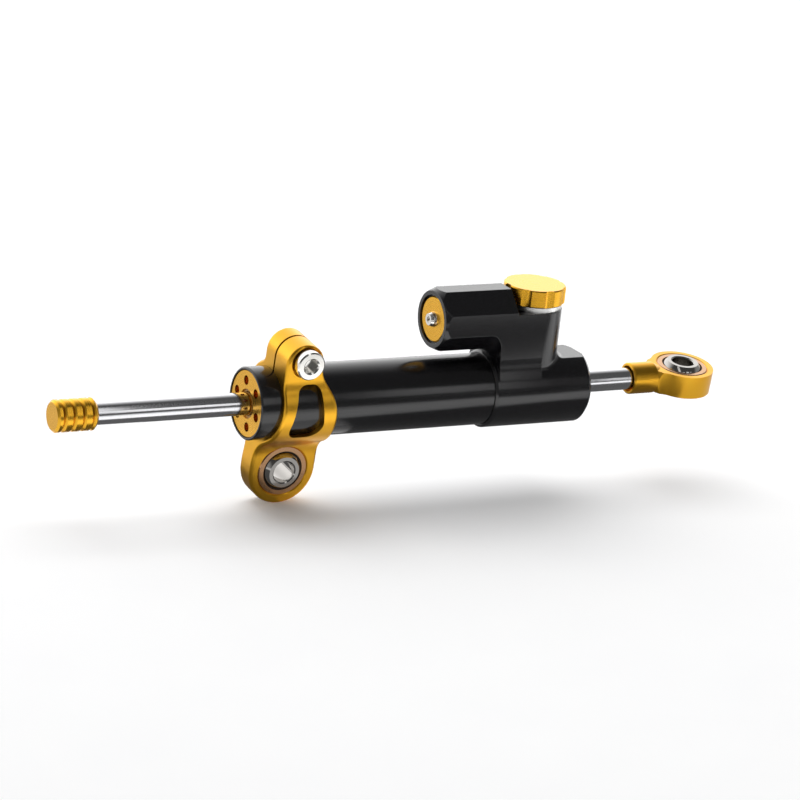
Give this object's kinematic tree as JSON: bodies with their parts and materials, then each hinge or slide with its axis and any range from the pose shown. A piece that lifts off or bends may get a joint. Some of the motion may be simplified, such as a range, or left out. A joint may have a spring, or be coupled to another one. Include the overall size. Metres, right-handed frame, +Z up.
{
  "type": "motorcycle steering damper",
  "caption": "Linear steering damper: chrome through rod in a black barrel, a head with side reservoir and adjuster knob, a clamp with a spherical eye and a rod end.",
  "frame": {"origin": "centre of the rod end's ball, on the rod's axis", "axes": "+X along the rod towards the rod end, +Z up along the adjuster knob's axis, +Y away from the side that the clamp screw's head is on"},
  "size_m": [0.3285, 0.0401, 0.0951],
  "materials": {
    "black_anodised": "satin",
    "gold_anodised": "satin",
    "bare_aluminium": "satin",
    "hard_chrome": "polished",
    "bearing_steel": "ground",
    "screw_steel": "zinc plated",
    "bronze": "turned",
    "black_rubber": "matt",
    "liner_cloth": "matt"
  },
  "bodies": {
    "barrel": {"barrel_tube": "black_anodised", "head_housing": "black_anodised", "tube_seal": "black_rubber", "front_gland": "gold_anodised", "gland_seal": "black_rubber", "front_wiper": "black_rubber", "front_rod_seal": "black_rubber", "front_guide_bush": "bronze", "front_bump_stop": "black_rubber", "rear_wiper": "black_rubber", "rear_rod_seal": "black_rubber", "rear_guide_bush": "bronze", "rear_bump_stop": "black_rubber", "reservoir_plug": "gold_anodised", "plug_seal": "black_rubber", "fill_screw": "screw_steel", "valve_collar": "bare_aluminium", "valve_cartridge": "bronze", "cartridge_seal": "black_rubber"},
    "wear_band": {"piston_band": "liner_cloth"},
    "rod": {"rod": "hard_chrome", "piston": "bare_aluminium", "piston_clips": "screw_steel", "end_cap": "gold_anodised", "rod_end": "gold_anodised", "rod_end_race": "bearing_steel"},
    "rod_end_liner": {"rod_end_liner": "liner_cloth"},
    "rod_end_ball": {"rod_end_ball": "bearing_steel"},
    "clamp": {"clamp": "gold_anodised", "clamp_screw": "screw_steel", "clamp_race": "bearing_steel"},
    "clamp_liner": {"clamp_liner": "liner_cloth"},
    "clamp_ball": {"clamp_ball": "bearing_steel"},
    "knob": {"knob": "gold_anodised", "knob_grub_screw": "screw_steel", "detent_ball": "bearing_steel", "detent_spring": "screw_steel"},
    "needle": {"needle": "bearing_steel"},
    "floating_piston": {"floating_piston": "bare_aluminium", "float_seal": "black_rubber"}
  },
  "joints": [
    {"name": "rod_slide", "type": "slide", "parent": "barrel", "child": "wear_band", "axis": [1, 0, 0], "range_m": [-0.02, 0.055]},
    {"name": "rod_turn", "type": "hinge", "parent": "wear_band", "child": "rod", "pos_m": [0, 0, 0], "axis": [1, 0, 0], "continuous": true},
    {"name": "rod_end_spin", "type": "hinge", "parent": "rod", "child": "rod_end_liner", "pos_m": [0, 0, 0], "axis": [0, -0.1219, 0.9925], "continuous": true},
    {"name": "rod_end_tilt", "type": "hinge", "parent": "rod_end_liner", "child": "rod_end_ball", "pos_m": [0, 0, 0], "axis": [1, 0, 0], "range_deg": [-12, 12]},
    {"name": "clamp_slide", "type": "slide", "parent": "barrel", "child": "clamp", "axis": [1, 0, 0], "range_m": [-0.008, 0.055]},
    {"name": "clamp_eye_spin", "type": "hinge", "parent": "clamp", "child": "clamp_liner", "pos_m": [-0.2027, 0.00325, -0.03093], "axis": [0, -0.9945, -0.1045], "continuous": true},
    {"name": "clamp_eye_tilt", "type": "hinge", "parent": "clamp_liner", "child": "clamp_ball", "pos_m": [-0.2027, 0.00325, -0.03093], "axis": [1, 0, 0], "range_deg": [-12, 12]},
    {"name": "knob_turn", "type": "hinge", "parent": "barrel", "child": "knob", "pos_m": [-0.0838, 0, 0.044], "axis": [0, 0, 1], "range_deg": [-165, 165]},
    {"name": "needle_lift", "type": "slide", "parent": "knob", "child": "needle", "axis": [0, 0, 1], "range_m": [-0.0005, 0.0005]},
    {"name": "gas_charge", "type": "slide", "parent": "barrel", "child": "floating_piston", "axis": [1, 0, 0], "range_m": [-0.003, 0.003], "stiffness_N_per_m": 2000}
  ],
  "couplings": [
    {"joint": "needle_lift", "follows": "knob_turn", "m_per_rad": 0.00015915}
  ]
}
